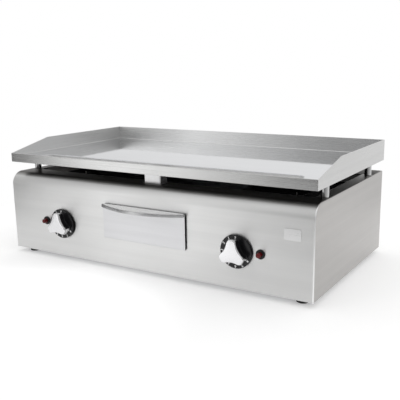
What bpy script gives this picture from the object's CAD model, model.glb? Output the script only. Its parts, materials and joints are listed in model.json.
import json
import math

import bmesh
import bpy
from mathutils import Matrix, Vector


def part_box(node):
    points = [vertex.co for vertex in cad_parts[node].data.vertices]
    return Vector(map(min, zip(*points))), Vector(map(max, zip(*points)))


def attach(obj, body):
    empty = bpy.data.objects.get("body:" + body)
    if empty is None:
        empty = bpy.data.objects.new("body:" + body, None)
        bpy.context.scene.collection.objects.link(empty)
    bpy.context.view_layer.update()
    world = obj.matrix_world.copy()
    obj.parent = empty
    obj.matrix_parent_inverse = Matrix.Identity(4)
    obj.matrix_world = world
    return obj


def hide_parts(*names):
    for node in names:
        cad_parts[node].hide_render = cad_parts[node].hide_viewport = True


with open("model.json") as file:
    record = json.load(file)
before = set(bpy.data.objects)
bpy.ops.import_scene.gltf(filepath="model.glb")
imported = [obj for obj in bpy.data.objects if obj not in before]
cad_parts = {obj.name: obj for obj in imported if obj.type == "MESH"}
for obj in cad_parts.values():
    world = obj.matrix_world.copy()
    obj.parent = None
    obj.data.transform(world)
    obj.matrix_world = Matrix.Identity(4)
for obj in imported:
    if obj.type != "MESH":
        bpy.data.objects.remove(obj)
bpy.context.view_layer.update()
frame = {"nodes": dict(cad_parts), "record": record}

# Looks of a countertop gas griddle. Metres, +Z up, +Y towards the back, +X to a cook's right.
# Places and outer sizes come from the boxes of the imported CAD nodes. The sizes below are the
# small details that the CAD solids leave out.

MM = 0.001
SMOOTH_ANGLE = math.radians(32)
SHEET = 1.5 * MM
HOUSING_CORNER = 2.6 * MM
ROLL_RADIUS = 30 * MM
LIP_DEPTH = 22 * MM
FLANGE_DEPTH = 11 * MM

scene = bpy.context.scene


# ---------------------------------------------------------------- mesh helpers

def spot(point, axis, along):
    """A 3-D point from a 2-D one, with the third coordinate put in on the named axis."""
    values = list(point)
    values.insert("xyz".index(axis), along)
    return Vector(values)


def middle(low, high, axes="xz"):
    """The middle of a box, as a 2-D point on the two named axes."""
    return tuple((getattr(low, axis) + getattr(high, axis)) / 2 for axis in axes)


def add_ring(bm, outline, axis, along):
    return [bm.verts.new(spot(p, axis, along)) for p in outline]


def add_prism(bm, outline, axis, low, high):
    """A straight bar of that outline, from low to high along the named axis."""
    add_skin(bm, [add_ring(bm, outline, axis, along) for along in (low, high)])


def add_skin(bm, rings, caps=True):
    """Faces between rings of equal length, closed at both ends unless caps is False."""
    for one, two in zip(rings, rings[1:]):
        for i, vert in enumerate(one):
            j = (i + 1) % len(one)
            bm.faces.new((vert, two[i], two[j], one[j]))
    if caps:
        bm.faces.new(rings[0])
        bm.faces.new(list(reversed(rings[-1])))


def add_slab(bm, low, high):
    """A box between two corners."""
    outline = [(low[0], low[1]), (high[0], low[1]), (high[0], high[1]), (low[0], high[1])]
    add_prism(bm, outline, "z", low[2], high[2])


def add_lathe(bm, profile, centre, axis, steps=56, closed=False):
    """Turns (radius, along) points about an axis through the 2-D centre."""
    rings = []
    for radius, along in profile:
        if radius == 0:
            rings.append([bm.verts.new(spot(centre, axis, along))])
            continue
        angles = [2 * math.pi * i / steps for i in range(steps)]
        ring = [(centre[0] + radius * math.cos(a), centre[1] + radius * math.sin(a)) for a in angles]
        rings.append(add_ring(bm, ring, axis, along))
    pairs = list(zip(rings, rings[1:]))
    if closed:
        pairs.append((rings[-1], rings[0]))
    for one, two in pairs:
        for i in range(steps):
            j = (i + 1) % steps
            corners = [one[i % len(one)], two[i % len(two)], two[j % len(two)], one[j % len(one)]]
            bm.faces.new(list(dict.fromkeys(corners)))


def add_rod(bm, centre, axis, radius, low, high, steps):
    add_lathe(bm, [(0, low), (radius, low), (radius, high), (0, high)], centre, axis, steps)


def arc(centre, radius, start, end, steps):
    """Points on a circle from one angle to another, in degrees."""
    angles = [math.radians(start + (end - start) * i / steps) for i in range(steps + 1)]
    return [(centre[0] + radius * math.cos(a), centre[1] + radius * math.sin(a)) for a in angles]


def rounded_rectangle(low, high, radius, steps=5):
    centres = [(high[0] - radius, high[1] - radius, 0), (low[0] + radius, high[1] - radius, 90),
               (low[0] + radius, low[1] + radius, 180), (high[0] - radius, low[1] + radius, 270)]
    outline = []
    for x, y, start in centres:
        outline += arc((x, y), radius, start, start + 90, steps)
    return outline


def link_mesh(name, bm):
    """A new object in the scene, with the mesh that bm holds."""
    mesh = bpy.data.meshes.new(name)
    bm.to_mesh(mesh)
    bm.free()
    obj = bpy.data.objects.new(name, mesh)
    scene.collection.objects.link(obj)
    return obj


def object_from(name, bm):
    """A new object made of closed shapes, with their faces turned outwards."""
    bmesh.ops.recalc_face_normals(bm, faces=bm.faces)
    return link_mesh(name, bm)


def bake(obj):
    """Applies the object's modifiers to its mesh."""
    bpy.context.view_layer.update()
    graph = bpy.context.evaluated_depsgraph_get()
    mesh = bpy.data.meshes.new_from_object(obj.evaluated_get(graph))
    obj.modifiers.clear()
    old = obj.data
    obj.data = mesh
    bpy.data.meshes.remove(old)
    mesh.name = obj.name


def cut(obj, cutter_bm):
    """Takes the shapes in cutter_bm out of the object."""
    cutter = object_from(obj.name + "_cutter", cutter_bm)
    modifier = obj.modifiers.new("cut", "BOOLEAN")
    modifier.object = cutter
    modifier.solver = "EXACT"
    bake(obj)
    bpy.data.objects.remove(cutter)


def bevel(obj, width, segments=2):
    """Rounds the object's sharp edges."""
    modifier = obj.modifiers.new("bevel", "BEVEL")
    modifier.width = width
    modifier.segments = segments
    modifier.limit_method = "ANGLE"
    modifier.angle_limit = SMOOTH_ANGLE
    modifier.harden_normals = False
    bake(obj)


def install(obj, material, body, node):
    """Shades a finished piece, gives it its material, and puts it in the place of its CAD node."""
    obj.data.polygons.foreach_set("use_smooth", [True] * len(obj.data.polygons))
    obj.data.set_sharp_from_angle(angle=SMOOTH_ANGLE)
    obj.data.materials.clear()
    obj.data.materials.append(material)
    weights = obj.modifiers.new("weights", "WEIGHTED_NORMAL")
    weights.keep_sharp = True
    bake(obj)
    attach(obj, body)
    if node:
        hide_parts(node)
    return obj


# ---------------------------------------------------------------- materials

# A Mix node has sockets for each data type. These are the numbers of A, B and the result.
MIX_SOCKETS = {"FLOAT": (2, 3, 0), "RGBA": (6, 7, 2)}
# Most of a noise's values lie between these two.
NOISE_LOW = 0.3
NOISE_HIGH = 0.7
NOISE_ROUGHNESS = 0.6


class Nodes:
    """A small builder for the node tree of a material or a world."""

    def __init__(self, owner):
        owner.use_nodes = True
        self.owner = owner
        self.tree = owner.node_tree
        self.shader = self.tree.nodes.get("Principled BSDF")

    def add(self, kind, **inputs):
        """A new node. A name that starts with an underscore is a setting; the others are inputs."""
        node = self.tree.nodes.new(kind)
        for key, value in inputs.items():
            if key.startswith("_"):
                setattr(node, key[1:], value)
            else:
                self.put(node.inputs[key.replace("_", " ")], value)
        return node

    def put(self, socket, value):
        if isinstance(value, bpy.types.NodeSocket):
            self.tree.links.new(value, socket)
        else:
            socket.default_value = value

    def set(self, **inputs):
        """Fills inputs of the material's shader."""
        for key, value in inputs.items():
            self.put(self.shader.inputs[key.replace("_", " ")], value)

    def where(self):
        """The place on the surface, in the object's own coordinates."""
        return self.add("ShaderNodeTexCoord").outputs["Object"]

    def part(self, vector, axis):
        return self.add("ShaderNodeSeparateXYZ", Vector=vector).outputs[axis.upper()]

    def facing(self, axis):
        """How far the surface faces along one of the object's own axes, from -1 to 1."""
        return self.part(self.add("ShaderNodeTexCoord").outputs["Normal"], axis)

    def noise(self, scale, detail):
        """Noise over the object's own coordinates, with a scale for each axis, in features per metre."""
        place = self.add("ShaderNodeMapping", Vector=self.where(), Scale=scale).outputs["Vector"]
        return self.add("ShaderNodeTexNoise", Vector=place, Scale=1.0,
                        Detail=detail, Roughness=NOISE_ROUGHNESS).outputs["Fac"]

    def ramp(self, value, start, end, low=0.0, high=1.0, easing="LINEAR"):
        """Goes from low to high while value goes from start to end, and stays level outside them."""
        return self.add("ShaderNodeMapRange", _interpolation_type=easing, Value=value, From_Min=start,
                        From_Max=end, To_Min=low, To_Max=high).outputs["Result"]

    def span(self, value, low, high):
        """Maps the middle of a noise's range onto low to high."""
        return self.ramp(value, NOISE_LOW, NOISE_HIGH, low, high)

    def mix(self, kind, share, one, two):
        """Goes from one to two, which are numbers or colours, while share goes from 0 to 1."""
        first, second, result = MIX_SOCKETS[kind]
        node = self.add("ShaderNodeMix", _data_type=kind)
        self.put(node.inputs[0], share)
        self.put(node.inputs[first], one)
        self.put(node.inputs[second], two)
        return node.outputs[result]

    def tint(self, share, dark, light):
        return self.mix("RGBA", share, (*dark, 1), (*light, 1))

    def calculate(self, operation, *values):
        node = self.add("ShaderNodeMath", _operation=operation)
        for socket, value in zip(node.inputs, values):
            self.put(socket, value)
        return node.outputs[0]

    def bump(self, height, strength, distance):
        node = self.add("ShaderNodeBump", Height=height, Strength=strength, Distance=distance)
        return node.outputs["Normal"]


def shades(colour, spread):
    """A darker and a lighter one of the same colour."""
    return [c * (1 - spread) for c in colour], [min(1, c * (1 + spread)) for c in colour]


def stretched(axis, across, along):
    """One value per axis: along for the named axis, and across for the two others."""
    values = [across] * 3
    values["xyz".index(axis)] = along
    return values


def even(value):
    return (value, value, value)


GROUND_EDGE = (0.9, 0.9, 0.9, 1)
HEAT_STAIN = (0.1, 0.095, 0.09, 1)
SOOT = ((0.018, 0.016, 0.015), (0.05, 0.045, 0.04))
SOOT_ROUGH = 0.7
# How far a face has turned along the grain when its lines start to fade and are gone
EDGE_TURN = (0.2, 0.6)
# How far a face has turned upwards when the stain, or the handle's bright top, starts and is full
STAIN_TURN = (0.72, 0.97)
HANDLE_TURN = (0.7, 0.99)
# How far above a plate's underside the soot starts to thin and is gone
SOOT_FADE = (0.3 * MM, 1.2 * MM)
METAL_SPREAD = 0.03
BRUSHED_SPREAD = 0.035
DULL_SPREAD = 0.14


def brushed(name, grain, colour, rough, anisotropy, heated=False):
    """Stainless sheet with its brushing lines along one axis, bright ground edges across them, and a
    dark stain on the faces that lie under the hot plate."""
    n = Nodes(bpy.data.materials.new(name))
    lines = n.noise(stretched(grain, 1400.0, 6.0), 2.0)
    bands = n.noise(stretched(grain, 55.0, 1.1), 3.0)
    cloud = n.noise(even(7.0), 2.0)
    turned = n.ramp(n.calculate("ABSOLUTE", n.facing(grain)), *EDGE_TURN)
    sheet = n.tint(n.span(bands, 0.0, 1.0), *shades(colour, BRUSHED_SPREAD))
    skin = n.mix("RGBA", turned, sheet, GROUND_EDGE)
    if heated:
        skin = n.mix("RGBA", n.ramp(n.facing("z"), *STAIN_TURN), skin, HEAT_STAIN)
    uneven = n.calculate("ADD", n.span(lines, rough - 0.05, rough + 0.05), n.span(cloud, -0.02, 0.03))
    direction = n.add("ShaderNodeVectorTransform", _vector_type="VECTOR", _convert_from="OBJECT",
                      _convert_to="WORLD", Vector=stretched(grain, 0.0, 1.0)).outputs[0]
    n.set(Base_Color=skin, Metallic=1.0, Roughness=uneven, Normal=n.bump(lines, 0.35, 0.03 * MM))
    n.set(Anisotropic=n.ramp(turned, 0.0, 1.0, anisotropy, 0.0), Anisotropic_Rotation=0.25,
          Tangent=direction)
    return n.owner


def handle_steel(name, top, side):
    """Bent strip with a bright top and a duller turned-down edge."""
    n = Nodes(bpy.data.materials.new(name))
    flat = n.ramp(n.facing("z"), *HANDLE_TURN)
    lines = n.noise(stretched("x", 900.0, 9.0), 2.0)
    n.set(Base_Color=n.tint(flat, side, top), Metallic=1.0, Roughness=n.span(lines, 0.2, 0.3))
    n.set(Normal=n.bump(lines, 0.2, 0.02 * MM))
    return n.owner


def polished(name, colour, rough):
    """Bare metal with smears and a fine skin."""
    n = Nodes(bpy.data.materials.new(name))
    smear = n.noise(even(40.0), 4.0)
    fine = n.noise(even(900.0), 2.0)
    n.set(Base_Color=n.tint(n.span(smear, 0.0, 1.0), *shades(colour, METAL_SPREAD)), Metallic=1.0)
    n.set(Roughness=n.span(smear, rough * 0.8, rough * 1.3), Normal=n.bump(fine, 0.08, 0.02 * MM))
    return n.owner


def sooty(name, underside, colour, rough):
    """Metal with faint polishing lines, black with soot on its underside."""
    n = Nodes(bpy.data.materials.new(name))
    lines = n.noise(stretched("x", 700.0, 5.0), 2.0)
    wipes = n.noise(stretched("x", 14.0, 5.0), 4.0)
    metal = n.tint(n.span(wipes, 0.0, 1.0), *shades(colour, METAL_SPREAD))
    clean = n.ramp(n.part(n.where(), "z"), underside + SOOT_FADE[0], underside + SOOT_FADE[1])
    soot = n.tint(n.span(n.noise(even(30.0), 4.0), 0.0, 1.0), *SOOT)
    n.set(Base_Color=n.mix("RGBA", clean, soot, metal), Metallic=clean)
    n.set(Roughness=n.ramp(clean, 0.0, 1.0, SOOT_ROUGH, rough), Normal=n.bump(lines, 0.05, 0.01 * MM))
    return n.owner


def dull(name, colour, rough, metallic=0.0, grain=260.0, depth=0.25, coat=0.0, shine=0.5):
    """Paint, rubber, casting or moulded plastic: mottled colour and a fine uneven skin."""
    n = Nodes(bpy.data.materials.new(name))
    mottle = n.noise(even(60.0), 4.0)
    skin = n.noise(even(grain), 3.0)
    n.set(Base_Color=n.tint(n.span(mottle, 0.0, 1.0), *shades(colour, DULL_SPREAD)), Metallic=metallic)
    n.set(Roughness=n.span(mottle, rough * 0.85, rough * 1.15), Coat_Weight=coat, Coat_Roughness=0.06)
    n.set(Normal=n.bump(skin, depth, 0.1 * MM), Specular_IOR_Level=shine)
    return n.owner


MATERIALS = {
    "brushed_x": brushed("brushed_stainless_along_x", "x", (0.69, 0.69, 0.685), 0.35, 0.88, heated=True),
    "brushed_y": brushed("brushed_stainless_along_y", "y", (0.48, 0.467, 0.455), 0.34, 0.88, heated=True),
    "fascia_x": brushed("fascia_stainless", "x", (0.56, 0.56, 0.555), 0.24, 0.8),
    "splash_x": brushed("splash_stainless_back", "x", (0.82, 0.82, 0.815), 0.28, 0.8),
    "splash_y": brushed("splash_stainless_side", "y", (0.66, 0.66, 0.655), 0.32, 0.8),
    "spout": brushed("spout_stainless", "z", (0.82, 0.82, 0.82), 0.3, 0.3),
    "drawer": brushed("drawer_stainless", "x", (0.65, 0.65, 0.662), 0.36, 0.88),
    "badge": brushed("badge_stainless", "x", (0.72, 0.72, 0.72), 0.3, 0.3),
    "handle": handle_steel("handle_stainless", (0.93, 0.93, 0.935), (0.5, 0.5, 0.505)),
    "polished_stainless": polished("polished_stainless", (0.72, 0.72, 0.72), 0.08),
    "zinc_steel": polished("zinc_plated_steel", (0.42, 0.43, 0.45), 0.4),
    "fastener_steel": polished("fastener_steel", (0.5, 0.5, 0.52), 0.3),
    "brass": polished("brass", (0.72, 0.52, 0.24), 0.25),
    "bright_steel": polished("bright_steel", (0.5, 0.51, 0.52), 0.22),
    "satin_chrome": polished("satin_chrome", (0.74, 0.74, 0.75), 0.17),
    "copper": polished("copper", (0.7, 0.36, 0.22), 0.3),
    "hard_chrome": sooty("hard_chrome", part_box("griddle_plate")[0].z, (0.7, 0.71, 0.73), 0.05),
    "gutter": sooty("gutter_stainless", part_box("gutter_trough")[0].z, (0.84, 0.84, 0.84), 0.3),
    "black_enamel": dull("black_enamel", (0.012, 0.012, 0.012), 0.5),
    "cast_iron": dull("cast_iron", (0.02, 0.02, 0.021), 0.7, metallic=0.3, grain=400.0, depth=0.6),
    "black_gloss": dull("black_gloss_plastic", (0.009, 0.009, 0.01), 0.2, grain=120.0, depth=0.04, shine=0.3),
    "black_plastic": dull("black_plastic", (0.01, 0.01, 0.01), 0.35, grain=500.0, depth=0.2, shine=0.25),
    "red_button": dull("red_button_plastic", (0.11, 0.004, 0.005), 0.2, grain=150.0, depth=0.05, coat=0.2,
                       shine=0.25),
    "lead_sleeve": dull("silicone_sleeve", (0.45, 0.42, 0.36), 0.6),
    "white_ceramic": dull("white_ceramic", (0.75, 0.73, 0.68), 0.4, grain=300.0, depth=0.15),
    "rubber": dull("black_rubber", (0.012, 0.012, 0.012), 0.75, grain=700.0, depth=0.4),
    "mark_white": dull("dial_mark_white", (0.92, 0.92, 0.92), 0.4),
}
# The CAD nodes that stay in sight look their material up by the name of their slot.
MATERIALS["brushed_stainless"] = MATERIALS["brushed_x"]


# ---------------------------------------------------------------- housing

front_low, front_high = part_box("front_panel")
rear_low, rear_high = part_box("rear_panel")
side_low, side_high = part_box("side_panel_right")
HALF = side_high.x
FRONT = front_low.y
BACK = rear_high.y
BASE = front_low.z
TOP = front_high.z
OPEN_HALF = side_low.x
OPEN_FRONT = front_high.y
OPEN_BACK = rear_low.y
NEAR = 0.1 * MM


def housing_skin():
    """The outside of the housing as one open surface, with rounded bends."""
    bm = bmesh.new()
    roll = arc((FRONT + ROLL_RADIUS, TOP - ROLL_RADIUS), ROLL_RADIUS, 180, 90, 24)
    profile = [(FRONT, BASE)] + roll + [(BACK, TOP), (BACK, BASE)]
    left, right = [[bm.verts.new((x, y, z)) for y, z in profile] for x in (-HALF, HALF)]
    for i in range(len(profile) - 1):
        bm.faces.new((left[i], right[i], right[i + 1], left[i + 1]))
    bm.faces.new(left)
    bm.faces.new(list(reversed(right)))
    bmesh.ops.recalc_face_normals(bm, faces=bm.faces)
    bends = [e for e in bm.edges if len(e.link_faces) == 2 and e.calc_face_angle() > math.radians(30)]
    bmesh.ops.bevel(bm, geom=bends, offset=HOUSING_CORNER, segments=5, profile=0.5, affect="EDGES")
    for point, normal in (((OPEN_HALF, 0, 0), (1, 0, 0)), ((-OPEN_HALF, 0, 0), (1, 0, 0)),
                          ((0, OPEN_FRONT, 0), (0, 1, 0)), ((0, OPEN_BACK, 0), (0, 1, 0))):
        top = [f for f in bm.faces if f.normal.z > 0.999 and f.calc_center_median().z > TOP - NEAR]
        geometry = top + list({e for f in top for e in f.edges}) + list({v for f in top for v in f.verts})
        bmesh.ops.bisect_plane(bm, geom=geometry, plane_co=point, plane_no=normal)
    return bm


def owner(face):
    """Which sheet of the housing a face of its skin belongs to."""
    c = face.calc_center_median()
    between = OPEN_FRONT < c.y < OPEN_BACK
    if abs(c.x) > HALF - HOUSING_CORNER:
        return "side_panel_right" if c.x > 0 else "side_panel_left"
    if between and c.z > TOP - NEAR:
        if abs(c.x) < OPEN_HALF:
            return "opening"
        return "side_panel_right" if c.x > 0 else "side_panel_left"
    return "front_panel" if c.y < 0 else "rear_panel"


def fold(bm, on_edge, shift):
    """Bends a new strip of sheet from the edges that on_edge picks."""
    edges = [e for e in bm.edges if e.is_boundary and all(on_edge(v.co) for v in e.verts)]
    made = bmesh.ops.extrude_edge_only(bm, edges=edges)["geom"]
    verts = [g for g in made if isinstance(g, bmesh.types.BMVert)]
    bmesh.ops.translate(bm, verts=verts, vec=shift)
    bends = [e for e in edges if e.is_valid]
    bmesh.ops.bevel(bm, geom=bends, offset=SHEET, segments=3, profile=0.5, affect="EDGES")


def housing_sheet(skin, node):
    """One of the housing's four sheets: its part of the skin, folded at its free edges and thickened."""
    bm = skin.copy()
    bm.faces.ensure_lookup_table()
    others = [f for f in bm.faces if owner(f) != node]
    bmesh.ops.delete(bm, geom=others, context="FACES")
    if node in ("front_panel", "rear_panel"):
        edge_y, wall_y, inward = (OPEN_FRONT, FRONT, 1) if node == "front_panel" else (OPEN_BACK, BACK, -1)
        fold(bm, lambda c: abs(c.y - edge_y) < NEAR and abs(c.x) < OPEN_HALF + NEAR, (0, 0, -LIP_DEPTH))
        fold(bm, lambda c: abs(c.z - BASE) < NEAR and abs(c.y - wall_y) < NEAR,
             (0, inward * FLANGE_DEPTH, 0))
    else:
        side = 1 if node == "side_panel_right" else -1
        fold(bm, lambda c: abs(c.x - side * OPEN_HALF) < NEAR, (0, 0, -LIP_DEPTH))
        fold(bm, lambda c: abs(c.z - BASE) < NEAR and abs(c.x - side * HALF) < NEAR,
             (-side * FLANGE_DEPTH, 0, 0))
    obj = link_mesh(node + "_sheet", bm)
    thick = obj.modifiers.new("sheet", "SOLIDIFY")
    thick.thickness = SHEET
    thick.offset = -1
    thick.use_even_offset = True
    bake(obj)
    return obj


CUT_OUTSIDE = 2 * SHEET
CUT_INSIDE = 3 * SHEET
# The drawer's opening against the drawer's front
GAP_BELOW = 0.8 * MM
GAP_RIGHT = 0.3 * MM
OVERLAP_ABOVE = 0.2 * MM
OPENING_CORNER = 4 * MM
SPOUT_GAP = 2 * MM
SPINDLE_HOLE = 6 * MM
IGNITER_HOLE = 7 * MM


def front_holes():
    """Cutters for the drawer opening, the spout, the spindles and the igniters."""
    bm = bmesh.new()
    start = FRONT - CUT_OUTSIDE
    end = FRONT + CUT_INSIDE
    low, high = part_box("drawer_front")
    outline = rounded_rectangle((low.x, low.z - GAP_BELOW), (high.x + GAP_RIGHT, high.z - OVERLAP_ABOVE),
                                OPENING_CORNER)
    add_prism(bm, outline, "y", start, end)
    low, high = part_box("grease_spout")
    add_slab(bm, (low.x - SPOUT_GAP, low.y - SPOUT_GAP, TOP - 4 * SHEET),
             (high.x + SPOUT_GAP, high.y + SPOUT_GAP, TOP + SHEET))
    for side in ("left", "right"):
        for node, radius in (("spindle_", SPINDLE_HOLE), ("igniter_body_", IGNITER_HOLE)):
            low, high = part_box(node + side)
            centre = middle(low, high)
            if node == "spindle_":
                centre = (centre[0], low.z + (high.x - low.x) / 2)
            add_rod(bm, centre, "y", radius, start, end, 32)
    return bm


VENT_COUNT = 11
VENT_PITCH = 16 * MM
VENT_WIDTH = 6 * MM
VENT_CORNER = 2.9 * MM
VENT_LOW = 108 * MM
VENT_HIGH = 158 * MM
INLET_HOLE = 9 * MM


def rear_holes():
    """Cutters for the vents and the gas pipe."""
    bm = bmesh.new()
    start = BACK - CUT_INSIDE
    end = BACK + SHEET
    group_x = middle(*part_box("knob_dial_right"))[0]
    for side in (-1, 1):
        for i in range(VENT_COUNT):
            x = side * group_x + (i - (VENT_COUNT - 1) / 2) * VENT_PITCH
            outline = rounded_rectangle((x - VENT_WIDTH / 2, VENT_LOW), (x + VENT_WIDTH / 2, VENT_HIGH),
                                        VENT_CORNER)
            add_prism(bm, outline, "y", start, end)
    add_rod(bm, middle(*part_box("gas_inlet")), "y", INLET_HOLE, start, end, 40)
    return bm


def build_housing():
    skin = housing_skin()
    for node in ("front_panel", "rear_panel", "side_panel_left", "side_panel_right"):
        obj = housing_sheet(skin, node)
        if node == "front_panel":
            cut(obj, front_holes())
        if node == "rear_panel":
            cut(obj, rear_holes())
        grain = "brushed_y" if node.startswith("side") else "brushed_x"
        install(obj, MATERIALS[grain], "housing", node)
    skin.free()


# ---------------------------------------------------------------- cooking tray

SPLASH_KINK = 130 * MM
SPLASH_EDGE = 0.5 * MM
FASCIA_EDGE = 0.35 * MM
PLATE_EDGE = 0.7 * MM
COVE = 0.8 * MM
COVE_ROOT = 0.5 * MM
NOTCH_CORNER = 20 * MM
SPOUT_CORNER = 3 * MM
POST_BORE = 3.2 * MM
POST_EDGE = 0.6 * MM


def build_fascia():
    """The tray's front wall, with a rounded rim."""
    low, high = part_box("front_fascia")
    reach = (high.y - low.y) / 2
    rim = arc(((low.y + high.y) / 2, high.z - reach), reach, 0, 180, 8)
    bm = bmesh.new()
    add_prism(bm, [(low.y, low.z), (high.y, low.z)] + rim, "x", low.x, high.x)
    obj = object_from("front_fascia_sheet", bm)
    bevel(obj, FASCIA_EDGE)
    install(obj, MATERIALS["fascia_x"], "housing", "front_fascia")


def add_cove(bm, wall, inward, along, start, end):
    """The ground weld that rounds the joint between a splash wall and the plate."""
    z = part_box("griddle_plate")[1].z
    hollow = [(wall + inward * COVE * (1 - math.sin(a)), z + COVE * (1 - math.cos(a)))
              for a in [math.radians(15 * k) for k in range(7)]]
    root = wall - inward * COVE_ROOT
    outline = [(root, z - COVE_ROOT), (wall + inward * COVE, z - COVE_ROOT)] + hollow + [(root, z + COVE)]
    rings = []
    for t in (start, end):
        points = [(t, u, v) if along == "x" else (u, t, v) for u, v in outline]
        rings.append([bm.verts.new(p) for p in points])
    add_skin(bm, rings)


def build_splash():
    """The tray's side walls, cut down at the front, and its back wall, each with its weld."""
    fascia_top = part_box("front_fascia")[1].z
    for side in ("left", "right"):
        low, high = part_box("splash_" + side)
        outline = [(low.y, low.z), (high.y, low.z), (high.y, high.z), (FRONT + SPLASH_KINK, high.z),
                   (low.y, fascia_top)]
        bm = bmesh.new()
        add_prism(bm, outline, "x", low.x, high.x)
        inner = high.x if side == "left" else low.x
        add_cove(bm, inner, 1 if side == "left" else -1, "y", low.y, high.y)
        obj = object_from("splash_" + side + "_sheet", bm)
        bevel(obj, SPLASH_EDGE, 3)
        install(obj, MATERIALS["splash_y"], "housing", "splash_" + side)
    low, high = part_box("splash_back")
    bm = bmesh.new()
    add_slab(bm, low, high)
    add_cove(bm, low.y, -1, "x", low.x, high.x)
    obj = object_from("splash_back_sheet", bm)
    bevel(obj, SPLASH_EDGE, 3)
    install(obj, MATERIALS["splash_x"], "housing", "splash_back")


def build_plate():
    """The cooking plate, notched at the front for the gutter."""
    low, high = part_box("griddle_plate")
    trough_low, trough_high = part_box("gutter_trough")
    notch_y = trough_high.y - NOTCH_CORNER
    notch = arc((trough_low.x + NOTCH_CORNER, notch_y), NOTCH_CORNER, 180, 90, 8)
    notch += arc((trough_high.x - NOTCH_CORNER, notch_y), NOTCH_CORNER, 90, 0, 8)
    outline = [(low.x, low.y), (trough_low.x, low.y)] + notch
    outline += [(trough_high.x, low.y), (high.x, low.y), (high.x, high.y), (low.x, high.y)]
    bm = bmesh.new()
    add_prism(bm, outline, "z", low.z, high.z)
    obj = object_from("griddle_plate_slab", bm)
    bevel(obj, PLATE_EDGE, 3)
    install(obj, MATERIALS["hard_chrome"], "housing", "griddle_plate")


def inset_ring(bm, low, high, inset, corner, z):
    """A ring that follows a box's outline from above, at a distance inside it."""
    outline = rounded_rectangle((low.x + inset, low.y + inset), (high.x - inset, high.y - inset),
                                corner - inset)
    return add_ring(bm, outline, "z", z)


def build_spout():
    """Upright tube with rounded corners, open at both ends."""
    low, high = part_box("grease_spout")
    bm = bmesh.new()
    rings = [inset_ring(bm, low, high, inset, SPOUT_CORNER, z)
             for inset, z in ((0, high.z), (0, low.z), (SHEET, low.z), (SHEET, high.z))]
    add_skin(bm, rings + rings[:1], caps=False)
    obj = object_from("grease_spout_tube", bm)
    install(obj, MATERIALS["spout"], "housing", "grease_spout")


def build_posts():
    """Polished spacers, bored through for their bolts and chamfered at both ends."""
    for corner in ("front_left", "front_right", "rear_left", "rear_right"):
        node = "post_" + corner
        low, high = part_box(node)
        radius = (high.x - low.x) / 2
        profile = [(POST_BORE, low.z), (radius - POST_EDGE, low.z), (radius, low.z + POST_EDGE),
                   (radius, high.z - POST_EDGE), (radius - POST_EDGE, high.z), (POST_BORE, high.z)]
        bm = bmesh.new()
        add_lathe(bm, profile, middle(low, high, "xy"), "z", 48, closed=True)
        obj = object_from(node + "_spacer", bm)
        install(obj, MATERIALS["polished_stainless"], "housing", node)


# ---------------------------------------------------------------- drawer

DRAWER_CORNER = 3 * MM
DRAWER_EDGE = 0.5 * MM
PAN_CORNER = 4 * MM
PAN_WALL = 1.2 * MM
PAN_EDGE = 0.3 * MM


def build_drawer_front():
    low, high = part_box("drawer_front")
    bm = bmesh.new()
    outline = rounded_rectangle((low.x, low.z), (high.x, high.z), DRAWER_CORNER)
    add_prism(bm, outline, "y", low.y, high.y)
    obj = object_from("drawer_front_sheet", bm)
    bevel(obj, DRAWER_EDGE, 3)
    install(obj, MATERIALS["drawer"], "drawer", "drawer_front")


HANDLE_END = 4 * MM
HANDLE_CORNER = 3 * MM
HANDLE_CORNER_REACH = 0.75
HANDLE_BEND = 2.2 * MM
HANDLE_STEPS = 72


def handle_outline(low, high, inset):
    """The handle from above: an arch with short blunt ends, as (x, y) points."""
    centre_x = (low.x + high.x) / 2
    half = (high.x - low.x) / 2
    rise = high.y - low.y - HANDLE_END
    radius = (half ** 2 + rise ** 2) / (2 * rise)
    centre_y = low.y + radius
    reach = half - inset
    corner = HANDLE_CORNER - inset
    start = reach - corner
    front = []
    for i in range(HANDLE_STEPS + 1):
        x = -start + 2 * start * i / HANDLE_STEPS
        front.append((centre_x + x, centre_y - math.sqrt((radius - inset) ** 2 - x ** 2)))
    front_y = front[0][1]
    end_y = front_y + corner * HANDLE_CORNER_REACH
    turn = [math.radians(15 * k) for k in range(6)]
    left = [(centre_x - start - corner * math.cos(a), end_y - (end_y - front_y) * math.sin(a)) for a in turn]
    right = [(2 * centre_x - x, y) for x, y in reversed(left)]
    return [(centre_x - reach, high.y)] + left + front + right + [(centre_x + reach, high.y)]


def build_drawer_handle():
    """Arched lip: a flat top, a rounded bend and a turned-down edge, hollow underneath."""
    low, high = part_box("drawer_handle")
    bend = HANDLE_BEND
    outside = [(0.0, low.z), (0.0, high.z - bend)]
    outside += [(bend * (1 - math.cos(a)), high.z - bend + bend * math.sin(a))
                for a in [math.radians(18 * k) for k in range(1, 6)]]
    inside = [(SHEET, low.z - SHEET), (SHEET, high.z - bend), (bend, high.z - SHEET)]
    lip, hollow = bmesh.new(), bmesh.new()
    for bm, layers in ((lip, outside), (hollow, inside)):
        add_skin(bm, [add_ring(bm, handle_outline(low, high, inset), "z", z) for inset, z in layers])
    obj = object_from("drawer_handle_lip", lip)
    cut(obj, hollow)
    install(obj, MATERIALS["handle"], "drawer", "drawer_handle")


def build_drawer_pan():
    """Open tray behind the drawer's front."""
    low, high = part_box("drawer_pan")
    bm = bmesh.new()
    add_skin(bm, [inset_ring(bm, low, high, inset, PAN_CORNER, z) for inset, z in
                  ((0, low.z), (0, high.z), (PAN_WALL, high.z), (PAN_WALL, low.z + PAN_WALL))])
    obj = object_from("drawer_pan_sheet", bm)
    bevel(obj, PAN_EDGE)
    install(obj, MATERIALS["drawer"], "drawer", "drawer_pan")


# ---------------------------------------------------------------- knobs and igniters

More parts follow.
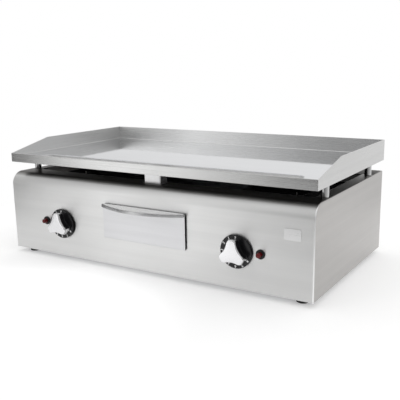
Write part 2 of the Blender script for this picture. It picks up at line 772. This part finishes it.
LOBE_STEPS = 180
LOBE_SOFTEN = 4
TIP_HALF_WIDTH = 8.5 * MM
GRIP_TIP = 27 * MM
GRIP_WAIST = 13.5 * MM
# The grip widens towards the dial's face: its size, and how far in front of the face
GRIP_FLARE = ((1.08, 0), (1.04, 1 * MM), (1.01, 3 * MM), (1.0, 5 * MM))
DIAL_THICK = 2.6 * MM
CAP_WAIST = 17.5 * MM
CAP_RIM = 4.5 * MM
CAP_TURN = 2.0 * MM
CAP_CROWN = 0.2 * MM
# The cap's crowned front: the ring's size, and its share of the crown's height
CAP_RINGS = ((0.94, 1.0), (0.8, 0.5), (0.6, 0.2), (0.4, 0.05), (0.2, 0.0))
LEG_INSET = 0.2 * MM
LEG_DEPTH = 2 * MM
LEG_SHARE = 0.96


def lobed_outline(centre, tip, waist):
    """Three blunt lobes, one of them up, hollowed between, as (x, z) points."""
    half_gap = math.radians(60) - math.asin(TIP_HALF_WIDTH / tip)
    chord = tip * math.sin(half_gap)
    sag = tip * math.cos(half_gap) - waist
    scoop = (chord ** 2 + sag ** 2) / (2 * sag)
    far = waist + scoop
    reaches = []
    for i in range(LOBE_STEPS):
        angle = 360 * i / LOBE_STEPS
        off = math.radians((angle - 30) % 120)
        off = min(off, math.radians(120) - off)
        side = far * math.sin(off)
        hollow = far * math.cos(off) - math.sqrt(scoop ** 2 - side ** 2) if side < scoop else tip
        reaches.append(min(tip, hollow))
    smooth = []
    for i in range(LOBE_STEPS):
        window = [reaches[(i + k) % LOBE_STEPS] for k in range(-LOBE_SOFTEN, LOBE_SOFTEN + 1)]
        smooth.append(sum(window) / len(window))
    angles = [2 * math.pi * i / LOBE_STEPS for i in range(LOBE_STEPS)]
    return [(centre[0] + r * math.cos(a), centre[1] + r * math.sin(a)) for r, a in zip(smooth, angles)]


def scaled(outline, centre, factor):
    return [(centre[0] + (x - centre[0]) * factor, centre[1] + (z - centre[1]) * factor) for x, z in outline]


def knob_centre(side):
    return middle(*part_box("knob_dial_" + side))


def build_dial(side):
    """Black dial with the grip's core on it. The result is where its face is, along Y."""
    low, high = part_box("knob_dial_" + side)
    centre = middle(low, high)
    radius = (high.x - low.x) / 2
    back = high.y
    face = back - DIAL_THICK
    profile = [(0, back), (radius - 0.3 * MM, back), (radius, back - 0.3 * MM), (radius, face + 1.2 * MM),
               (radius - 0.35 * MM, face + 0.45 * MM), (radius - 1.1 * MM, face), (0, face)]
    bm = bmesh.new()
    add_lathe(bm, profile, centre, "y", 96)
    core = lobed_outline(centre, GRIP_TIP, GRIP_WAIST)
    layers = [(size, face - out) for size, out in GRIP_FLARE] + [(1.0, low.y)]
    add_skin(bm, [add_ring(bm, scaled(core, centre, size), "y", y) for size, y in layers])
    obj = object_from("knob_dial_" + side + "_moulding", bm)
    install(obj, MATERIALS["black_gloss"], "knob_" + side, "knob_dial_" + side)
    return face


def build_cap(side):
    """Chromed cover of the grip: a crowned front, a rounded rim and a leg down each lobe's tip."""
    low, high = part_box("knob_cap_" + side)
    centre = knob_centre(side)
    tip = high.z - centre[1]
    front = low.y
    rim_back = front + CAP_RIM
    rim_front = front + CAP_CROWN + CAP_TURN
    layers = [(0.0, rim_back), (0.0, rim_front)]
    layers += [(CAP_TURN * (1 - math.cos(a)), rim_front - CAP_TURN * math.sin(a))
               for a in [math.radians(18 * k) for k in range(1, 6)]]
    bm = bmesh.new()
    rings = [add_ring(bm, lobed_outline(centre, tip - inset, CAP_WAIST - inset), "y", y)
             for inset, y in layers]
    inner = lobed_outline(centre, tip - CAP_TURN, CAP_WAIST - CAP_TURN)
    rings += [add_ring(bm, scaled(inner, centre, size), "y", front + share * CAP_CROWN)
              for size, share in CAP_RINGS]
    add_skin(bm, rings)
    half_width = math.degrees(math.asin(TIP_HALF_WIDTH / tip)) * LEG_SHARE
    for lobe in (90, 210, 330):
        leg = arc(centre, tip - LEG_INSET, lobe - half_width, lobe + half_width, 10)
        leg += arc(centre, tip - LEG_DEPTH, lobe + half_width, lobe - half_width, 10)
        add_prism(bm, leg, "y", rim_back, high.y)
    obj = object_from("knob_cap_" + side + "_cover", bm)
    install(obj, MATERIALS["satin_chrome"], "knob_" + side, "knob_cap_" + side)


MARK_SIZE = 7.4 * MM
MARK_STEP = 30
MARK_REACH = 30.6 * MM
MARK_HEIGHT = 0.12 * MM
MARK_FATTER = 0.28 * MM
DOT_RADIUS = 1.7 * MM


def mark(side, text, angle, face):
    """A printed numeral or dot that stands on the dial, turned to read outwards."""
    centre = knob_centre(side)
    x = centre[0] + MARK_REACH * math.cos(angle)
    z = centre[1] + MARK_REACH * math.sin(angle)
    if text == ".":
        bm = bmesh.new()
        add_rod(bm, (x, z), "y", DOT_RADIUS, face, face - MARK_HEIGHT, 20)
        return object_from("dial_dot", bm)
    curve = bpy.data.curves.new("numeral", "FONT")
    curve.body = text
    curve.size = MARK_SIZE
    curve.align_x = "CENTER"
    curve.align_y = "CENTER"
    curve.extrude = MARK_HEIGHT / 2
    curve.offset = MARK_FATTER
    holder = bpy.data.objects.new("numeral", curve)
    scene.collection.objects.link(holder)
    bpy.context.view_layer.update()
    mesh = bpy.data.meshes.new_from_object(holder.evaluated_get(bpy.context.evaluated_depsgraph_get()))
    bpy.data.objects.remove(holder)
    upright = Matrix.Rotation(math.radians(90), 4, "X")
    turned = Matrix.Rotation(math.radians(90) - angle, 4, "Y")
    place = Matrix.Translation((x, face - MARK_HEIGHT / 2, z))
    mesh.transform(place @ turned @ upright)
    obj = bpy.data.objects.new("dial_numeral", mesh)
    scene.collection.objects.link(obj)
    return obj


def build_marks(side, face):
    """Dot at the top for off, then numerals that come up as the dial is turned clockwise."""
    for i, text in enumerate(".12345678"):
        angle = math.radians(90 + MARK_STEP * i)
        obj = mark(side, text, angle, face)
        obj.name = "dial_mark_" + side + "_" + str(i)
        obj.data.materials.clear()
        obj.data.materials.append(MATERIALS["mark_white"])
        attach(obj, "knob_" + side)


IGNITER_BORE = 5.05 * MM
IGNITER_NECK = 7 * MM
IGNITER_SHOULDER = 8.5 * MM
SHOULDER_START = 12 * MM
SHOULDER_END = 4 * MM
BUTTON_DOME = 2.4 * MM


def build_igniter(side):
    """Black collar and body with a bore through it, and the red button that slides in the bore."""
    low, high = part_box("igniter_body_" + side)
    button_low, button_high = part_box("igniter_button_" + side)
    centre = middle(low, high)
    outer = (high.x - low.x) / 2
    start = FRONT + SHOULDER_START
    end = high.y - SHOULDER_END
    profile = [(IGNITER_BORE, low.y), (outer - 1.6 * MM, low.y), (outer - 0.8 * MM, low.y + 0.25 * MM),
               (outer, low.y + 1.2 * MM), (outer, FRONT), (IGNITER_NECK, FRONT), (IGNITER_NECK, start),
               (IGNITER_SHOULDER, start), (IGNITER_SHOULDER, end), (IGNITER_NECK, end),
               (IGNITER_NECK, high.y), (IGNITER_BORE, high.y)]
    bm = bmesh.new()
    add_lathe(bm, profile, centre, "y", 48, closed=True)
    obj = object_from("igniter_body_" + side + "_moulding", bm)
    install(obj, MATERIALS["black_plastic"], "housing", "igniter_body_" + side)
    radius = (button_high.x - button_low.x) / 2
    dome = [(radius * math.sin(a), button_low.y + BUTTON_DOME * (1 - math.cos(a)))
            for a in [math.radians(15 * k) for k in range(7)]]
    bm = bmesh.new()
    add_lathe(bm, dome + [(radius, button_high.y), (0, button_high.y)], centre, "y", 40)
    obj = object_from("igniter_button_" + side + "_moulding", bm)
    install(obj, MATERIALS["red_button"], "button_" + side, "igniter_button_" + side)


# ---------------------------------------------------------------- small pieces

BADGE_CORNER = 2.5 * MM
BADGE_EDGE = 0.4 * MM
FOOT_RADIUS = 15 * MM
FOOT_BORE = 2.5 * MM
FOOT_RECESS = 6 * MM
FOOT_RECESS_DEPTH = 4 * MM


def build_badge():
    low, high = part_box("badge_plate")
    bm = bmesh.new()
    outline = rounded_rectangle((low.x, low.z), (high.x, high.z), BADGE_CORNER)
    add_prism(bm, outline, "y", low.y, high.y)
    obj = object_from("badge_plate_blank", bm)
    bevel(obj, BADGE_EDGE, 3)
    install(obj, MATERIALS["badge"], "housing", "badge_plate")


def build_feet():
    """Moulded feet with a groove round the side and a soft edge at the worktop."""
    low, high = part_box("feet")
    radius = FOOT_RADIUS
    height = high.z - low.z
    recess_top = low.z + FOOT_RECESS_DEPTH
    profile = [(FOOT_BORE, recess_top), (FOOT_RECESS, recess_top), (FOOT_RECESS, low.z),
               (radius - 3.4 * MM, low.z), (radius - 2.4 * MM, low.z + 0.5 * MM),
               (radius - 2 * MM, low.z + 1.4 * MM), (radius - 1 * MM, low.z + height * 0.55),
               (radius - 1.6 * MM, low.z + height * 0.6), (radius - 0.4 * MM, low.z + height * 0.68),
               (radius, low.z + height * 0.9), (radius, high.z), (FOOT_BORE, high.z)]
    bm = bmesh.new()
    for x in (low.x + radius, high.x - radius):
        for y in (low.y + radius, high.y - radius):
            add_lathe(bm, profile, (x, y), "z", 40, closed=True)
    obj = object_from("feet_moulding", bm)
    install(obj, MATERIALS["rubber"], "housing", "feet")


THREAD_PITCH = 1.8 * MM
THREAD_DEPTH = 0.9 * MM
THREAD_CREST = 10.45 * MM
THREAD_START = 17 * MM
PIPE_BORE = 6.5 * MM
PIPE_NECK = 9 * MM
NUT_LENGTH = 13 * MM
NUT_CHAMFER = 1 * MM
NUT_SHRINK = 0.96


def build_inlet():
    """Hexagon nut and threaded gas nipple at the back."""
    low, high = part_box("gas_inlet")
    centre = middle(low, high)
    thread_start = low.y + THREAD_START
    thread_root = THREAD_CREST - THREAD_DEPTH
    profile = [(PIPE_BORE, low.y), (PIPE_NECK, low.y), (PIPE_NECK, thread_start)]
    for i in range(int((high.y - thread_start) / THREAD_PITCH)):
        y = thread_start + i * THREAD_PITCH
        profile += [(thread_root, y + 0.1 * MM), (THREAD_CREST, y + THREAD_PITCH * 0.4),
                    (THREAD_CREST, y + THREAD_PITCH * 0.6)]
    profile += [(thread_root, high.y), (PIPE_BORE, high.y)]
    bm = bmesh.new()
    add_lathe(bm, profile, centre, "y", 48, closed=True)
    corner = (high.x - low.x) / 2 / math.cos(math.radians(30))
    nut_end = low.y + NUT_LENGTH
    hexagon = [(centre[0] + corner * math.cos(a), centre[1] + corner * math.sin(a))
               for a in [math.radians(60 * k + 30) for k in range(6)]]
    layers = ((NUT_SHRINK, low.y), (1.0, low.y + NUT_CHAMFER),
              (1.0, nut_end - NUT_CHAMFER), (NUT_SHRINK, nut_end))
    add_skin(bm, [add_ring(bm, scaled(hexagon, centre, size), "y", y) for size, y in layers])
    obj = object_from("gas_inlet_fitting", bm)
    install(obj, MATERIALS["brass"], "housing", "gas_inlet")


def paint_cad_nodes():
    """Gives the CAD nodes that stay in sight their slot's detailed material, and the gutter its own."""
    slots = {item["node"]: item["material_slot"] for item in frame["record"]["subparts"]}
    slots["gutter_trough"] = "gutter"
    for name, obj in frame["nodes"].items():
        if obj.hide_render:
            continue
        for holder in obj.material_slots:
            holder.material = MATERIALS[slots[name]]


# ---------------------------------------------------------------- stage

CAMERA_PLACE = Vector((0.8083, -1.2753, 0.4589))
CAMERA_YAW = -31.839
CAMERA_PITCH = -12.251
CAMERA_ROLL = -0.829
CAMERA_LENS = 56.31
CAMERA_SENSOR = 36


def build_camera():
    """Camera turned by its yaw from the back, its pitch from level and its roll, in degrees."""
    yaw, pitch, roll = [math.radians(a) for a in (CAMERA_YAW, CAMERA_PITCH, CAMERA_ROLL)]
    ahead = Vector((math.sin(yaw) * math.cos(pitch), math.cos(yaw) * math.cos(pitch), math.sin(pitch)))
    right = Vector((math.cos(yaw), -math.sin(yaw), 0))
    up = right.cross(ahead)
    turned_right = right * math.cos(roll) + up * math.sin(roll)
    turned_up = up * math.cos(roll) - right * math.sin(roll)
    data = bpy.data.cameras.new("camera")
    data.lens = CAMERA_LENS
    data.sensor_width = CAMERA_SENSOR
    camera = bpy.data.objects.new("camera", data)
    axes = Matrix((turned_right, turned_up, -ahead)).transposed().to_4x4()
    camera.matrix_world = Matrix.Translation(CAMERA_PLACE) @ axes
    scene.collection.objects.link(camera)
    scene.camera = camera


FLOOR_RADIUS = 0.85
FLOOR_THICK = 1 * MM
FLOOR_GLOW = 0.32
SPOT_GLOW = 0.7
SPOT_PLACE = (-0.08, -0.48, 0.0)
SPOT_RADIUS = 0.36
# How far inside the object's outline the floor's glow is gone and is full
GLOW_GONE = 60 * MM
GLOW_FULL = 25 * MM


def build_floor():
    """A white table that glows faintly: more in front of the object, and not at all under it."""
    bm = bmesh.new()
    add_rod(bm, (0, 0), "z", FLOOR_RADIUS, -FLOOR_THICK, 0, 96)
    floor = object_from("studio_floor", bm)
    n = Nodes(bpy.data.materials.new("studio_floor_white"))
    where = n.where()
    away = n.add("ShaderNodeVectorMath", _operation="DISTANCE")
    n.put(away.inputs[0], where)
    n.put(away.inputs[1], SPOT_PLACE)
    glow = n.ramp(away.outputs["Value"], 0.0, SPOT_RADIUS, SPOT_GLOW, FLOOR_GLOW, "SMOOTHSTEP")
    outside = [n.ramp(n.calculate("ABSOLUTE", n.part(where, axis)), reach - GLOW_GONE, reach - GLOW_FULL)
               for axis, reach in (("x", HALF), ("y", BACK))]
    n.set(Base_Color=(0.9, 0.9, 0.9, 1), Roughness=0.8, Specular_IOR_Level=0.05)
    n.set(Emission_Color=(1, 1, 1, 1),
          Emission_Strength=n.calculate("MULTIPLY", glow, n.calculate("MAXIMUM", *outside)))
    floor.data.materials.append(n.owner)


# Brightness round the horizon, by the angle in degrees from the front, positive to the right
HORIZON = ((-180, 0.95), (-150, 0.84), (-120, 0.66), (-80, 0.3), (-54, 0.05), (-48.5, 0.1), (-42.5, 1.6),
           (-37, 1.45), (-31, 0.98), (-25, 0.4), (-19, 0.08), (0, 0.25), (22, 0.12), (36, 0.1), (44, 0.6),
           (54, 2.0), (75, 2.4), (100, 1.5), (130, 0.7), (158, 0.45), (180, 0.85))
BRIGHTEST = 2.5
OVERHEAD = 0.9
# The height of a direction, from -1 to 1, where the horizon's light gives way to the light overhead
CEILING = (-0.05, 0.85)


def build_world():
    """A white studio: uneven soft light round the horizon, an even ceiling, and a background that the
    camera sees as white."""
    world = bpy.data.worlds.new("studio")
    scene.world = world
    n = Nodes(world)
    direction = n.add("ShaderNodeTexCoord").outputs["Generated"]
    forward = n.calculate("MULTIPLY", n.part(direction, "y"), -1.0)
    turn = n.calculate("ARCTAN2", n.part(direction, "x"), forward)
    horizon = n.add("ShaderNodeValToRGB", Fac=n.ramp(turn, -math.pi, math.pi))
    horizon.color_ramp.interpolation = "EASE"
    stops = horizon.color_ramp.elements
    while len(stops) > 1:
        stops.remove(stops[0])
    for i, (angle, level) in enumerate(HORIZON):
        stop = stops[0] if i == 0 else stops.new(0.5)
        stop.position = (angle + 180) / 360
        grey = level / BRIGHTEST
        stop.color = (grey, grey, grey, 1)
    ring = n.calculate("MULTIPLY", horizon.outputs["Color"], BRIGHTEST)
    light = n.mix("FLOAT", n.ramp(n.part(direction, "z"), *CEILING), ring, OVERHEAD)
    seen = n.add("ShaderNodeLightPath").outputs["Is Camera Ray"]
    background = n.tree.nodes["Background"]
    n.put(background.inputs["Strength"], n.mix("FLOAT", seen, light, 1.0))
    n.put(background.inputs["Color"], (1, 1, 1, 1))
    scene.view_settings.view_transform = "Standard"


build_camera()
build_floor()
build_world()
build_housing()
build_fascia()
build_splash()
build_plate()
build_spout()
build_posts()
build_drawer_front()
build_drawer_handle()
build_drawer_pan()
for hand in ("left", "right"):
    dial_face = build_dial(hand)
    build_cap(hand)
    build_marks(hand, dial_face)
    build_igniter(hand)
build_badge()
build_feet()
build_inlet()
paint_cad_nodes()
